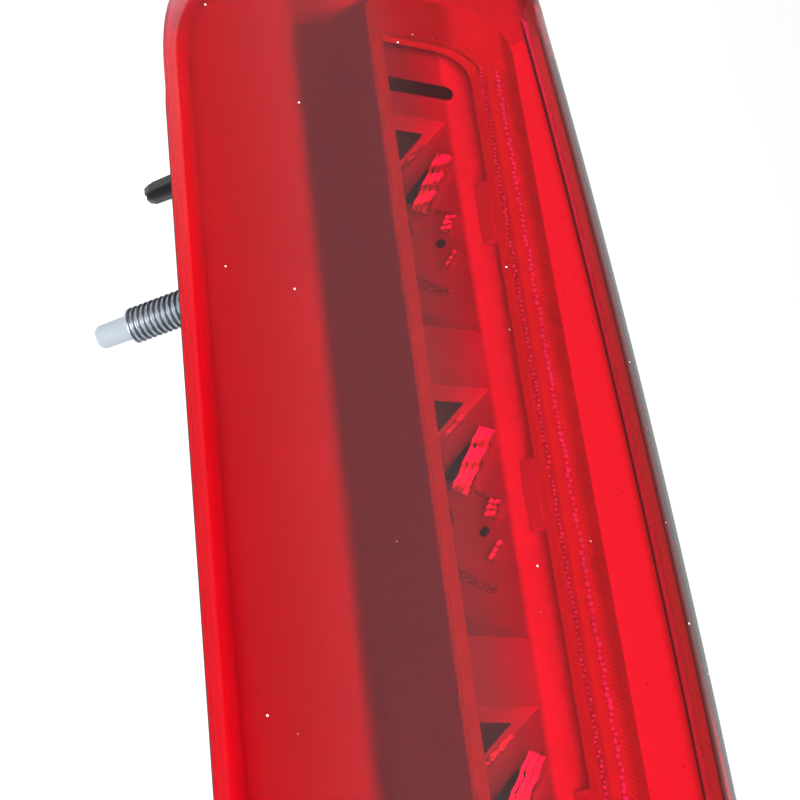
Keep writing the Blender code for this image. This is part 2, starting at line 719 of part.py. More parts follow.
def main():
    clear_scene()
    group = make_collection("third_brake_light")
    cutters = make_collection("cutters")
    red = make_material("red_lens", (0.62, 0.01, 0.015), 0.08)
    black = make_material("black_plastic", (0.03, 0.03, 0.032), 0.45)
    pale = make_material("pale_plastic", (0.8, 0.8, 0.8), 0.5)
    silver = make_material("reflector_metallised", (0.85, 0.85, 0.86), 0.15, 1.0)
    bead = make_material("weld_plastic", (0.5, 0.03, 0.04), 0.3)
    seal = make_material("seal_rubber", (0.02, 0.02, 0.02), 0.7)
    foam = make_material("gasket_foam", (0.05, 0.05, 0.05), 0.9)
    zinc = make_material("zinc_steel", (0.7, 0.72, 0.75), 0.3, 1.0)
    glass = make_material("bulb_glass", (0.9, 0.92, 0.92), 0.05)
    wire = make_material("filament_metal", (0.6, 0.6, 0.62), 0.35, 1.0)
    grey = make_material("holder_plastic", (0.25, 0.25, 0.26), 0.5)
    brass = make_material("contact_brass", (0.72, 0.55, 0.25), 0.3, 1.0)
    clip = make_material("clip_plastic", (0.45, 0.45, 0.46), 0.35)

    build_lens(group, red)
    build_housing(group, cutters, black)
    build_shelf(group, cutters, pale)
    build_reflector(group, cutters, silver)
    build_weld_bead(group, bead)
    build_rim_seal(group, seal)
    build_gasket(group, foam)
    build_stud("mounting_stud_left", -1, group, zinc)
    build_stud("mounting_stud_right", 1, group, zinc)
    for index, x in enumerate(cell_positions(), start=1):
        build_bulb_glass(index, x, group, cutters, glass)
        build_filament(index, x, group, cutters, wire)
        build_holder(index, x, group, cutters, grey)
        build_holder_seal(index, x, group, seal)
        build_holder_contact("holder_contact_live_%d" % index, x, 1, group, brass)
        build_holder_contact("holder_contact_ground_%d" % index, x, -1, group, brass)
        build_clip(index, x, group, clip)
    build_busbar("busbar_live", 0.0443, 0.0453, -1, 0.0, group, cutters, brass)
    build_busbar("busbar_ground", 0.0457, 0.0467, 1, BUS_THICKNESS + GAP, group, cutters, brass)
    build_inlet(group, cutters, black)
    build_pin("connector_pin_live", -1, group, brass)
    build_pin("connector_pin_ground", 1, group, brass)
    build_vent(group, black)
    for item in cutters.objects:
        item.hide_render = True
        item.display_type = "WIRE"


main()
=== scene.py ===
"""Third brake light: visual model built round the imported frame.

Laid out as an add-on and run as a script. Metres; X runs along the lamp, Y from the thin edge
of the lens to its thick edge, Z away from the vehicle.
"""
import math

import bmesh
import bpy
from bpy.props import FloatProperty, PointerProperty, StringProperty
from bpy.types import Operator, Panel, PropertyGroup
from mathutils import Matrix, Vector


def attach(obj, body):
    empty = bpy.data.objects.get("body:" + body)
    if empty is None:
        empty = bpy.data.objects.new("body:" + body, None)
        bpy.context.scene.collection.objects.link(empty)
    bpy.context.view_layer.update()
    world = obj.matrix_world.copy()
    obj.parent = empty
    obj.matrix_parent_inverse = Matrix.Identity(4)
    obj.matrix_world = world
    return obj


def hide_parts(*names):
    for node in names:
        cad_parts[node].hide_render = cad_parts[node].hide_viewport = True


bl_info = {
    "name": "Third Brake Light",
    "version": (1, 0, 0),
    "blender": (4, 5, 0),
    "location": "View3D > Sidebar > Brake Light",
    "description": "Builds the lens, housing, reflector, bulbs and fixings of a high-level brake lamp",
    "category": "Add Mesh",
}

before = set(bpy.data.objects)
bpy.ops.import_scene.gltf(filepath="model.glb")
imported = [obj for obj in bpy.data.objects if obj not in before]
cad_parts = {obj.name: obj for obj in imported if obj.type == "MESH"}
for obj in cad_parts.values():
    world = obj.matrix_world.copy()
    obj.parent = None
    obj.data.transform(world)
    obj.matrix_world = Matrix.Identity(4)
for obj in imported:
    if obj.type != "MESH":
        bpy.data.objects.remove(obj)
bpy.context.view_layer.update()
CELLS = 5
MM = 0.001

# stage: floor, lights and camera, in metres, watts, millimetres of lens and degrees
FLOOR_SIZE = 6.0
FLOOR_Z = -0.35
WORLD_DIM = 0.24
WORLD_BRIGHT = 1.0
KEY_PLACE = (0.9, -1.1, 1.0)
KEY_SIZE = 1.3
KEY_POWER = 45.0
SUN_RAYS = (-0.75, 0.35, -1.0)
SUN_POWER = 2.9
SUN_SPREAD = 50
CAMERA_PLACE = (0.0592267, -0.2163640, 0.1172391)
CAMERA_TURN = (41.7486, -63.3791, 74.9695)
CAMERA_LENS = 81.0
CAMERA_SENSOR = 36.0


# ---- sizes and colours --------------------------------------------------------------------
def length(name, description, default):
    return FloatProperty(name=name, description=description, default=default, unit="LENGTH",
                         subtype="DISTANCE")


def angle(name, description, degrees):
    return FloatProperty(name=name, description=description, default=math.radians(degrees), subtype="ANGLE")


def colour(name, description, default):
    return StringProperty(name=name, description=description, default=default)


class LampSizes(PropertyGroup):
    half_length: length("Half length", "Half the length of the lens", 0.162)
    width: length("Width", "Thin edge to thick edge at mid-length", 0.0643)
    y_thin: length("Thin edge", "Where the thin edge lies across the frame", -0.022)
    rim_z: length("Rim height", "Lower rim of the lens above the mounting face", 0.0055)
    skirt: length("Skirt", "Upright edge of the lens at its thin side", 0.003)
    face_tilt: angle("Face tilt", "Slope of the flat face", 40.4)
    thin_corner: length("Thin corner", "Plan radius of the corners at the thin side", 0.038)
    thick_corner: length("Thick corner", "Plan radius of the corners at the thick side", 0.014)
    arch: length("Arch radius", "Plan radius of the thick edge", 2.31)
    crease: length("Crease", "Where the face meets the bevel, from the thin edge", 0.0542)
    bevel_tilt: angle("Bevel tilt", "Slope of the bevel strip", 20.0)
    bevel: length("Bevel", "Width of the bevel strip", 0.0049)
    nose: length("Nose radius", "Radius of the thick edge's nose", 0.004)
    wall: length("Lens wall", "Thickness of the moulding", 0.0025)
    etched: length("Etched zone", "Width of the deeper frost, from the thin edge", 0.0170)
    side_wall: length("Side wall", "Thickness of the lens at its thin side", 0.002)
    box_half: length("Inner wall half length", "Half the length of the inner wall ring", 0.148)
    box_low: length("Inner wall low side", "From the thin edge", 0.0282)
    box_high: length("Inner wall high side", "From the thin edge", 0.0494)
    row_near: length("First weld row", "Row of weld bubbles nearer the thin edge", 0.0435)
    row_far: length("Second weld row", "Row of weld bubbles nearer the thick edge", 0.0459)
    row_half: length("Weld row half length", "Half the length of both rows", 0.1345)
    flange_drop: length("Flange drop", "Lens face straight down to the reflector's rim", 0.0088)
    cup_high: length("Cup high side", "Mouth of a cup, from the thin edge", 0.0417)
    stud_r: length("Stud radius", "Over the crests of the thread", 0.003)
    stud_root: length("Thread root radius", "At the bottom of the groove", 0.00258)
    stud_pitch: length("Thread pitch", "One turn", 0.001)
    stud_tip: length("Stud tip", "Height of the free end", -0.0226)
    pitch: length("Cell pitch", "Spacing of the light cells", 0.052)
    bulb_w: length("Bulb axis", "Bulb axis from the thin edge", 0.0366)
    stud_x: length("Stud position", "Stud axis from mid-length", 0.0944)
    fixing_w: length("Fixing line", "Studs and pegs from the thin edge", 0.022)


class LampColours(PropertyGroup):
    lens: colour("Lens red", "Tint of light that crosses one wall of the lens", "#FB1C60")
    nose: colour("Nose", "Deeper tint where the moulding is thick", "#B4101E")
    frost: colour("Frost", "Light scattered back by the etched inside of the lens", "#E02838")
    shell: colour("Housing", "Moulded black plastic", "#1C1C1E")
    wall: colour("Inner wall", "Matt brown-grey moulding", "#64595A")
    shelf: colour("Shelf", "Pale plate behind the frosted zone", "#B4B4B4")
    tab: colour("Tab", "Snap tabs of the reflector", "#D4D4D6")
    mirror: colour("Reflector", "Metallised plastic", "#DEDEE0")
    facet: colour("Facets", "Brightest metallised ribs", "#F2F2F4")
    weld: colour("Weld", "Fused acrylic bead", "#DC8A98")
    # painted shade: the bead's low side is coloured darker beside the dark inner wall
    weld_shaded: colour("Weld, low side", "The same bead beside the dark inner wall", "#B2676B")
    weld_dark: colour("Weld, outer strip", "Scored and darker", "#B45C62")
    bubble: colour("Weld bubbles", "Pale fused beads", "#F0B4BA")
    zinc: colour("Zinc", "Bright plated steel", "#A9B2BC")
    brass: colour("Brass", "Contact strip", "#C9A65C")
    holder: colour("Holder", "Glass-filled nylon", "#6A6A6C")
    rubber: colour("Rubber", "Seals", "#1A1A1A")
    foam: colour("Foam", "Gasket", "#2A2A2C")
    wire: colour("Wire", "Filament and its supports", "#8C8C90")


def sizes():
    return bpy.context.scene.lamp_sizes


def tones():
    return bpy.context.scene.lamp_colours


# ---- materials ----------------------------------------------------------------------------
def linear(code):
    """sRGB hex to linear RGBA."""
    out = []
    for i in (1, 3, 5):
        v = int(code[i:i + 2], 16) / 255
        out.append(v / 12.92 if v <= 0.04045 else ((v + 0.055) / 1.055) ** 2.4)
    return (*out, 1.0)


def add_node(tree, kind, inputs=None, links=None, **settings):
    """Add one node, with its settings, its input values and the links into it."""
    made = tree.nodes.new(kind)
    for key, value in settings.items():
        setattr(made, key, value)
    for key, value in (inputs or {}).items():
        made.inputs[key].default_value = value
    for key, source in (links or {}).items():
        tree.links.new(source, made.inputs[key])
    return made


def new_material(name, **values):
    """Principled material with plain values on the shader's own sockets."""
    mat = bpy.data.materials.new(name)
    mat.use_nodes = True
    tree = mat.node_tree
    shader = tree.nodes["Principled BSDF"]
    for key, value in values.items():
        shader.inputs[key.replace("_", " ")].default_value = value
    return mat, tree, shader


def ramp(tree, source, stops, interpolation="LINEAR"):
    made = add_node(tree, "ShaderNodeValToRGB", links={"Fac": source})
    band = made.color_ramp
    band.interpolation = interpolation
    while len(band.elements) < len(stops):
        band.elements.new(0.5)
    for element, (position, value) in zip(band.elements, stops):
        element.position = position
        element.color = value if len(value) == 4 else (*value, 1.0)
    return made.outputs["Color"]


def grey(v):
    return (v, v, v, 1.0)


def object_place(tree):
    """Place on the piece, then its three parts along X, Y and Z."""
    place = add_node(tree, "ShaderNodeTexCoord").outputs["Object"]
    parts = add_node(tree, "ShaderNodeSeparateXYZ", links={"Vector": place}).outputs
    return place, parts["X"], parts["Y"], parts["Z"]


def calculate(tree, operation, *values):
    """Math node on sockets or plain numbers."""
    made = add_node(tree, "ShaderNodeMath", operation=operation)
    for slot, value in enumerate(values):
        if isinstance(value, bpy.types.NodeSocket):
            tree.links.new(value, made.inputs[slot])
        else:
            made.inputs[slot].default_value = value
    return made.outputs["Value"]


def fade(tree, source, start, end, low=0.0, high=1.0):
    """Go from low to high while the source goes from start to end."""
    limits = {"From Min": start, "From Max": end, "To Min": low, "To Max": high}
    return add_node(tree, "ShaderNodeMapRange", limits, {"Value": source}).outputs["Result"]


def speckle(tree, place, scale, detail):
    """Noise of the given number of lumps per metre."""
    made = add_node(tree, "ShaderNodeTexNoise", {"Scale": scale, "Detail": detail}, {"Vector": place})
    return made.outputs["Fac"]


def emboss(tree, shader, height, strength, depth):
    made = add_node(tree, "ShaderNodeBump", {"Strength": strength, "Distance": depth}, {"Height": height})
    tree.links.new(made.outputs["Normal"], shader.inputs["Normal"])


def blend(tree, share, first, second, mode="MIX"):
    """Mix two colours; each may be a socket or a plain colour."""
    made = add_node(tree, "ShaderNodeMix", data_type="RGBA", blend_type=mode)
    for slot, value in ((0, share), (6, first), (7, second)):
        if isinstance(value, bpy.types.NodeSocket):
            tree.links.new(value, made.inputs[slot])
        else:
            made.inputs[slot].default_value = value
    return made.outputs[2]


def recolour(mat, change):
    """Pass the material's base colour through a change that adds nodes and returns the new colour."""
    tree = mat.node_tree
    base = tree.nodes["Principled BSDF"].inputs["Base Color"]
    tree.links.new(change(tree, base.links[0].from_socket), base)


def mix_surfaces(tree, share, shader, other):
    """Lay another surface over the main one, in the given share."""
    both = add_node(tree, "ShaderNodeMixShader",
                    links={0: share, 1: shader.outputs["BSDF"], 2: other.outputs["BSDF"]})
    tree.links.new(both.outputs["Shader"], tree.nodes["Material Output"].inputs["Surface"])


def moulded_plastic(name, tone, roughness, grain_mm=0.6, strength=0.12):
    """Injection-moulded plastic: even colour, fine spark-eroded grain, slightly uneven gloss."""
    mat, tree, shader = new_material(name, IOR=1.53)
    place = object_place(tree)[0]
    grain = speckle(tree, place, 1 / (grain_mm * MM), 3.0)
    cloud = speckle(tree, place, 45.0, 4.0)
    base = linear(tone)
    dark = tuple(c * 0.82 for c in base[:3])
    light = tuple(min(1.0, c * 1.15) for c in base[:3])
    tree.links.new(ramp(tree, cloud, [(0.3, dark), (0.7, light)]), shader.inputs["Base Color"])
    smoother, rougher = roughness * 0.88, min(1, roughness * 1.12)
    tree.links.new(ramp(tree, cloud, [(0.3, grey(smoother)), (0.7, grey(rougher))]), shader.inputs["Roughness"])
    emboss(tree, shader, grain, strength, 0.1 * MM)
    return mat


def zoned_plastic(name, axis, low, high, stops, roughness):
    """Moulded plastic in bands of tone across a width (axis 2) or up a height (axis 3)."""
    mat = moulded_plastic(name, stops[0][1], roughness)

    def bands(tree, _):
        place = object_place(tree)
        zone = ramp(tree, fade(tree, place[axis], low, high), [(at, linear(tone)) for at, tone in stops])
        fine = speckle(tree, place[0], 300.0, 4.0)
        return blend(tree, 1.0, zone, ramp(tree, fine, [(0.3, grey(0.88)), (0.7, grey(1.0))]), "MULTIPLY")
    recolour(mat, bands)
    return mat


def paint_light_on_flange(mat):
    """Pale weld tone laid over the rim that carries the window's weld, along the high side and at both ends:
    painted light, lifting the shade that falls on it between the reflector's edge and the housing wall.
    """
    s = sizes()

    def painted_rim_light(tree, before):
        _, x, y, z = object_place(tree)
        high_side = fade(tree, y, s.y_thin + s.cup_high, s.y_thin + s.cup_high + 1.5 * MM)
        ends = fade(tree, calculate(tree, "ABSOLUTE", x), s.row_half + 1 * MM, s.row_half + 2 * MM)
        inner_wall = s.y_thin + s.box_low + 2 * MM
        inside = fade(tree, y, inner_wall - 0.2 * MM, inner_wall + 0.2 * MM)
        rim = calculate(tree, "MAXIMUM", high_side, calculate(tree, "MULTIPLY", ends, inside))
        share = calculate(tree, "MULTIPLY", rim, fade(tree, z, 9 * MM, 10 * MM))
        return blend(tree, share, before, linear(tones().weld))
    recolour(mat, painted_rim_light)


def paint_shade_across_reflector(mat):
    """Painted shade and light across the reflector: its colour is darkened towards the low side and lifted past
    its own tone at the high side.
    """
    s = sizes()

    def painted_shading(tree, before):
        y = object_place(tree)[2]
        across = fade(tree, y, s.y_thin + s.bulb_w, s.y_thin + s.cup_high + 1.3 * MM)
        shade = ramp(tree, across, [(0.0, grey(0.5)), (0.8, grey(0.85)), (0.9, grey(1.3))])
        return blend(tree, 1.0, before, shade, "MULTIPLY")
    recolour(mat, painted_shading)


def plated_metal(name, tone, roughness, streak_mm=0.4, strength=0.08, metallic=1.0):
    """Plated or rolled metal: metallic, with fine drawing marks and uneven polish."""
    mat, tree, shader = new_material(name, Metallic=metallic)
    place = object_place(tree)[0]
    stretch = add_node(tree, "ShaderNodeMapping", {"Scale": (1.0, 1.0, 0.15)}, {"Vector": place})
    streak = speckle(tree, stretch.outputs["Vector"], 1 / (streak_mm * MM), 3.0)
    base = linear(tone)
    dark = tuple(c * 0.94 for c in base[:3])
    tree.links.new(ramp(tree, streak, [(0.35, dark), (0.65, base)]), shader.inputs["Base Color"])
    polish = ramp(tree, streak, [(0.3, grey(roughness * 0.8)), (0.7, grey(roughness * 1.25))])
    tree.links.new(polish, shader.inputs["Roughness"])
    emboss(tree, shader, streak, strength, 0.05 * MM)
    return mat


def along_arch(tree, x, y):
    """Share of the lens's width, from 0 at the thin edge to 1 at the arched thick edge."""
    s = sizes()
    squared = calculate(tree, "MULTIPLY", x, x)
    straightened = calculate(tree, "MULTIPLY_ADD", squared, 1 / (2 * s.arch), y)
    return straightened, fade(tree, straightened, s.y_thin, s.y_thin + s.width)


def lens_polished():
    """Moulded red acrylic, polished outside: sharp gloss, thin weathered haze, painted light on the nose, hair
    scratches and dust.
    """
    s = sizes()
    t = tones()
    mat, tree, shader = new_material("acrylic_red_polished", IOR=1.49, Transmission_Weight=1.0)
    place, x, y, z = object_place(tree)
    haze = speckle(tree, place, 160.0, 5.0)
    tree.links.new(ramp(tree, haze, [(0.3, grey(0.02)), (0.75, grey(0.05))]), shader.inputs["Roughness"])
    emboss(tree, shader, speckle(tree, place, 40.0, 2.0), 0.02, 0.3 * MM)

    # weathered haze is thickest over the middle of the face; the stronger pale layer on the nose is painted
    # light, standing in for light carried round the thick nose
    arched, across = along_arch(tree, x, y)
    haze_and_nose_light = ramp(tree, across, [
        (0.04, grey(0.001)), (0.15, grey(0.007)), (0.28, grey(0.016)), (0.45, grey(0.016)),
        (0.56, grey(0.003)), (0.89, grey(0.001)), (0.93, grey(0.16)), (0.96, grey(0.16)), (0.98, grey(0.002))])
    # the skirt's gloss is red and weak, the rest mirrors white
    gloss = ramp(tree, across, [(0.02, (1.0, 0.12, 0.18)), (0.05, (1.0, 0.9, 0.95))])
    tree.links.new(gloss, shader.inputs["Specular Tint"])
    # the moulding is thickest at the nose, so its red is deeper there
    nose_start = s.y_thin + s.crease - 1.9 * MM
    nose = fade(tree, arched, nose_start, nose_start + 0.7 * MM)
    thick = calculate(tree, "MULTIPLY", fade(tree, z, 49 * MM, 51 * MM), nose)
    tint = ramp(tree, thick, [(0.0, linear(t.lens)), (1.0, linear(t.nose))])
    tree.links.new(tint, shader.inputs["Base Color"])
    # dust and chips: one small speck in some of the cells, more of them along the thick edge
    cells = add_node(tree, "ShaderNodeTexVoronoi", {"Scale": 420.0, "Randomness": 1.0}, {"Vector": place})
    near = calculate(tree, "LESS_THAN", cells.outputs["Distance"], 0.07)
    pick = add_node(tree, "ShaderNodeSeparateColor", links={"Color": cells.outputs["Color"]})
    chance = fade(tree, y, s.y_thin + s.crease, s.y_thin + s.width, 0.06, 0.6)
    some = calculate(tree, "LESS_THAN", pick.outputs["Red"], chance)
    speck = calculate(tree, "MULTIPLY", near, some)
    dust_and_nose_light = add_node(tree, "ShaderNodeBsdfDiffuse", {"Color": (0.85, 0.84, 0.85, 1.0)})
    mix_surfaces(tree, calculate(tree, "MAXIMUM", haze_and_nose_light, speck), shader, dust_and_nose_light)
    return mat


def lens_inner():
    """Inside of the same acrylic: etched to a frost beside the inner wall, clear over the cells."""
    s = sizes()
    mat, tree, shader = new_material("acrylic_red_inner", IOR=1.49, Transmission_Weight=1.0)
    shader.inputs["Base Color"].default_value = linear(tones().lens)
    place, x, y, _ = object_place(tree)
    wall = s.y_thin + s.box_low
    beside = fade(tree, y, wall + 0.3 * MM, wall - 0.3 * MM)
    ends = fade(tree, calculate(tree, "ABSOLUTE", x), s.box_half - 0.4 * MM, s.box_half + 0.2 * MM)
    frost = calculate(tree, "MAXIMUM", beside, ends)
    tree.links.new(fade(tree, frost, 0.0, 1.0, 0.03, 0.34), shader.inputs["Roughness"])

    # the etching scatters most of the light beside the thin edge and at the ends; the pale red scatter down the
    # skirt is painted light, standing in for the glow the moulding carries to its edge
    etched = s.y_thin + s.etched
    deep = calculate(tree, "MAXIMUM", fade(tree, y, etched + 0.8 * MM, etched - 0.8 * MM), ends)
    skirt = s.y_thin + s.side_wall
    painted_skirt_glow = calculate(tree, "MULTIPLY", 0.45, fade(tree, y, skirt + 1.2 * MM, skirt + 0.2 * MM))
    share = calculate(tree, "MULTIPLY_ADD", deep, 0.42, painted_skirt_glow)
    grain = speckle(tree, place, 25.0, 3.0)
    tone = linear(tones().frost)
    pale = ramp(tree, grain, [(0.3, tuple(c * 0.93 for c in tone[:3])), (0.7, tone)])
    scatter = add_node(tree, "ShaderNodeBsdfDiffuse", links={"Color": pale})
    mix_surfaces(tree, share, shader, scatter)
    return mat


# ---- mesh helpers -------------------------------------------------------------------------
def point(x, w, z):
    return Vector((x, sizes().y_thin + w, z))


def face_z(w):
    s = sizes()
    return s.rim_z + s.skirt + w * math.tan(s.face_tilt)


def under_z(w):
    s = sizes()
    return face_z(w) - s.wall / math.cos(s.face_tilt)


def flange_z(w):
    return face_z(w) - sizes().flange_drop


def cell_xs():
    return [(k - (CELLS - 1) / 2) * sizes().pitch for k in range(CELLS)]


def wire_loop(bm, points):
    verts = [bm.verts.new(p) for p in points]
    for a, b in zip(verts, verts[1:] + verts[:1]):
        bm.edges.new((a, b))
    return verts


def draw_up(bm, verts, points, slot=0):
    """Extrude a closed loop of edges and set the new loop on the given points."""
    edges = [e for a, b in zip(verts, verts[1:] + verts[:1]) for e in (bm.edges.get((a, b)),)]
    grown = bmesh.ops.extrude_edge_only(bm, edges=edges)["geom"]
    for f in (g for g in grown if isinstance(g, bmesh.types.BMFace)):
        f.material_index = slot
    new = {g for g in grown if isinstance(g, bmesh.types.BMVert)}
    fresh = [next(e.other_vert(v) for e in v.link_edges if e.other_vert(v) in new) for v in verts]
    for v, p in zip(fresh, points):
        v.co = p
    return fresh


def close_loop(bm, verts, slot=0):
    edges = [bm.edges.get((a, b)) for a, b in zip(verts, verts[1:] + verts[:1])]
    for f in bmesh.ops.edgeloop_fill(bm, edges=edges)["faces"]:
        f.material_index = slot


def face_out(bm, rim_z):
    """Turn every face of the hollow convex shell away from the moulding's own material."""
    s = sizes()
    bm.normal_update()
    for f in bm.faces:
        middle = f.calc_center_median()
        if abs(middle.z - rim_z) < 1e-6:
            wrong = f.normal.z > 0
        else:
            core = point(max(-0.11, min(0.11, middle.x)), s.bulb_w, 18 * MM)
            wrong = (f.normal.dot(middle - core) < 0) == (f.material_index == 0)
        if wrong:
            f.normal_flip()


def finish_piece(name, bm, mats, body, replaced=(), smooth=30.0, recalc=True):
    bmesh.ops.remove_doubles(bm, verts=bm.verts, dist=1e-6)
    if recalc:
        bmesh.ops.recalc_face_normals(bm, faces=bm.faces)
    mesh = bpy.data.meshes.new(name)
    bm.to_mesh(mesh)
    bm.free()
    for mat in mats:
        mesh.materials.append(mat)
    item = bpy.data.objects.new(name, mesh)
    bpy.context.scene.collection.objects.link(item)
    mesh.shade_smooth()
    mesh.set_sharp_from_angle(angle=math.radians(smooth))
    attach(item, body)
    if replaced:
        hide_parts(*replaced)
    return item


def soften(item, width, segments=2, limit=35.0):
    """Rounded moulded edges; CAD solids come as loose triangles, so they are welded first."""
    weld = item.modifiers.new("weld", "WELD")
    weld.merge_threshold = 1e-6
    mod = item.modifiers.new("edge_round", "BEVEL")
    mod.width = width
    mod.segments = segments
    mod.limit_method = "ANGLE"
    mod.angle_limit = math.radians(limit)
    mod.harden_normals = False


def dress(node, mat):
    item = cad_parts[node]
    item.data.materials.clear()
    item.data.materials.append(mat)
    return item


# ---- lens outline: (x, w, inward normal, zone), zone 0 thin side, 1 end, 2 thick side -------
def smoothstep(t):
    return t * t * (3 - 2 * t)


def lens_outline(corner_steps=26, arch_steps=64):
    s = sizes()
    start = s.half_length - s.thin_corner
    right = []
    for i in range(corner_steps + 1):
        a = -math.pi / 2 + math.pi / 2 * i / corner_steps
        right.append((start + s.thin_corner * math.cos(a), s.thin_corner * (1 + math.sin(a)),
                      -math.cos(a), -math.sin(a), smoothstep(i / corner_steps)))
    cx = s.half_length - s.thick_corner
    end_angle = math.pi / 2 - math.atan(cx / s.arch)
    xe = cx + s.thick_corner * math.cos(end_angle)
    cw = s.width - xe * xe / (2 * s.arch) - s.thick_corner * math.sin(end_angle)
    for i in range(corner_steps + 1):
        a = end_angle * i / corner_steps
        right.append((cx + s.thick_corner * math.cos(a), cw + s.thick_corner * math.sin(a),
                      -math.cos(a), -math.sin(a), 1.0 + smoothstep(i / corner_steps)))
    thick = []
    for i in range(1, arch_steps):
        x = xe - 2 * xe * i / arch_steps
        size = math.hypot(x / s.arch, 1.0)
        thick.append((x, s.width - x * x / (2 * s.arch), -x / s.arch / size, -1.0 / size, 2.0))
    left = [(-x, w, -nx, nw, zone) for x, w, nx, nw, zone in reversed(right)]
    return right + thick + left


def mix3(zone, thin, end, thick):
    a, b, t = (thin, end, zone) if zone <= 1.0 else (end, thick, zone - 1.0)
    return [p + (q - p) * t for p, q in zip(a, b)]


def lens_sections(steps=10):
    """Inset and drop below the face for each loop at the thin side, end and thick side, outer and inner."""
    s = sizes()
    crease = Vector((s.crease, face_z(s.crease)))
    tangent = crease + s.bevel * Vector((math.cos(s.bevel_tilt), math.sin(s.bevel_tilt)))
    normal = Vector((-math.sin(s.bevel_tilt), math.cos(s.bevel_tilt)))
    centre = tangent - s.nose * normal
    outer = []
    inner = []
    for i in range(steps + 1):
        a = (math.pi / 2 + s.bevel_tilt) * i / steps
        n = Vector((math.cos(a), math.sin(a)))
        outer.append(centre + s.nose * n)
        inner.append(centre + (s.nose - s.wall) * n)
    face_normal = Vector((-math.sin(s.face_tilt), math.cos(s.face_tilt)))
    middle = (face_normal + normal).normalized()
    outer.append(crease)
    inner.append(crease - middle * s.wall / math.cos((s.face_tilt - s.bevel_tilt) / 2))
    reach = s.width - outer[0].x
    drop = s.wall / math.cos(s.face_tilt)
    thin_r, end_r = 0.9 * MM, 2.6 * MM
    rows = []
    for k, (p, q) in enumerate(zip(outer, inner)):
        a = math.pi / 2 * k / (len(outer) - 1)
        curve = (1 - math.cos(a), -(1 - math.sin(a)))
        thin = [thin_r * c for c in curve]
        end = [end_r * c for c in curve]
        rows.append((
            thin, end, (s.width - p.x - reach, p.y - face_z(p.x)),
            (s.side_wall + thin[0] / 2, thin[1] / 2 - drop), (s.wall + end[0] / 2, end[1] / 2 - drop),
            (s.width - q.x - reach, q.y - face_z(q.x))))
    return rows


def lens_loop(outline, tables):
    loop = []
    for x, w, nx, nw, zone in outline:
        inset, dz = mix3(zone, *tables)
        wi = w + nw * inset
        loop.append(point(x + nx * inset, wi, face_z(wi) + dz))
    return loop


def inset_loop(outline, inset, z):
    return [point(x + nx * inset, w + nw * inset, z) for x, w, nx, nw, _ in outline]


def wave(seed):
    """Repeatable value from 0 to 1."""
    return (math.sin(seed * 12.9898 + 4.1) * 43758.5453) % 1.0


# ends of each rib on a cup's high wall (along, up), width, number of teeth, relief, all in mm
RIBS = (
    ((-13.9, 34.4), (-4.8, 28.4), 3.2, 3, 0.7),
    ((-4.4, 30.5), (-1.6, 34.4), 0.5, 1, 0.5),
    ((-1.9, 34.0), (0.7, 32.4), 2.0, 2, 0.6),
    ((4.9, 33.6), (7.4, 31.4), 0.9, 1, 0.4),
    ((7.5, 25.9), (12.4, 31.6), 0.9, 1, 0.5),
    ((-17.6, 30.8), (-13.2, 24.6), 1.0, 1, 0.4),
)
# ends of each dark slot on the same wall, and its half width
RECESSES = (
    ((-11.6, 31.0), (-8.3, 27.2), 1.0),
    ((2.4, 31.3), (2.6, 31.0), 0.6),
)


def add_rib(bm, start, end, width, teeth, relief):
    """Crinkled strip of sawtooth facets, standing off the high wall of a cup."""
    s = sizes()
    made = bmesh.ops.create_grid(bm, x_segments=18, y_segments=2 * teeth, size=0.5)["verts"]
    a, b = (Vector((x, 0, z)) for x, z in (start, end))
    run = b - a
    across = Vector((run.z, 0, -run.x)).normalized() * (-1 if run.x > 0 else 1)
    wall = s.y_thin + s.cup_high - 0.3 * MM
    for v in made:
        u, t = v.co.x + 0.5, v.co.y + 0.5
        valley = round(t * 2 * teeth) % 2 == 1
        t = t + 0.3 / teeth if valley else t
        ripple = math.sin(u * 19.0 + t * 3.0) * 0.12 * width / max(teeth, 2)
        crinkle = ripple + (wave(u * 7.0) - 0.5) * 0.1 * MM
        spot = a + run * u + across * ((t - 0.5) * width + crinkle)
        v.co = Vector((spot.x, wall - (0.0 if valley else relief), spot.z))
    faces = list({f for v in made for f in v.link_faces})
    bmesh.ops.solidify(bm, geom=faces, thickness=0.25 * MM)


def add_recess(bm, a, b, radius, normal):
    """Rounded slot: a low rim round a sunk floor."""
    run = (b - a).normalized()
    side = normal.cross(run).normalized()
    steps = 10
    rim = []
    for end, sign in ((b, 1), (a, -1)):
        for i in range(steps + 1):
            turn = math.radians(-90 + 180 * i / steps)
            rim.append(end + sign * radius * (math.cos(turn) * run + math.sin(turn) * side))
    middle = (a + b) / 2
    foot = top = wire_loop(bm, [p + normal * 0.05 * MM for p in rim])
    for scale, lift in ((1.0, 0.45 * MM), (0.88, 0.5 * MM), (0.8, 0.15 * MM)):
        top = draw_up(bm, top, [middle + (p - middle) * scale + normal * lift for p in rim])
    close_loop(bm, top)
    close_loop(bm, foot)


def add_dome(bm, spot, radius, normal):
    """Flattened bubble, longer one way than the other."""
    turn = normal.to_track_quat("Z", "Y").to_matrix().to_4x4()
    stretch = 0.8 + 0.5 * wave(spot.x * 9000.0)
    size = Matrix.Diagonal((radius * stretch, radius, radius * 0.45, 1.0))
    bmesh.ops.create_icosphere(bm, subdivisions=2, radius=1.0, matrix=Matrix.Translation(spot) @ turn @ size)


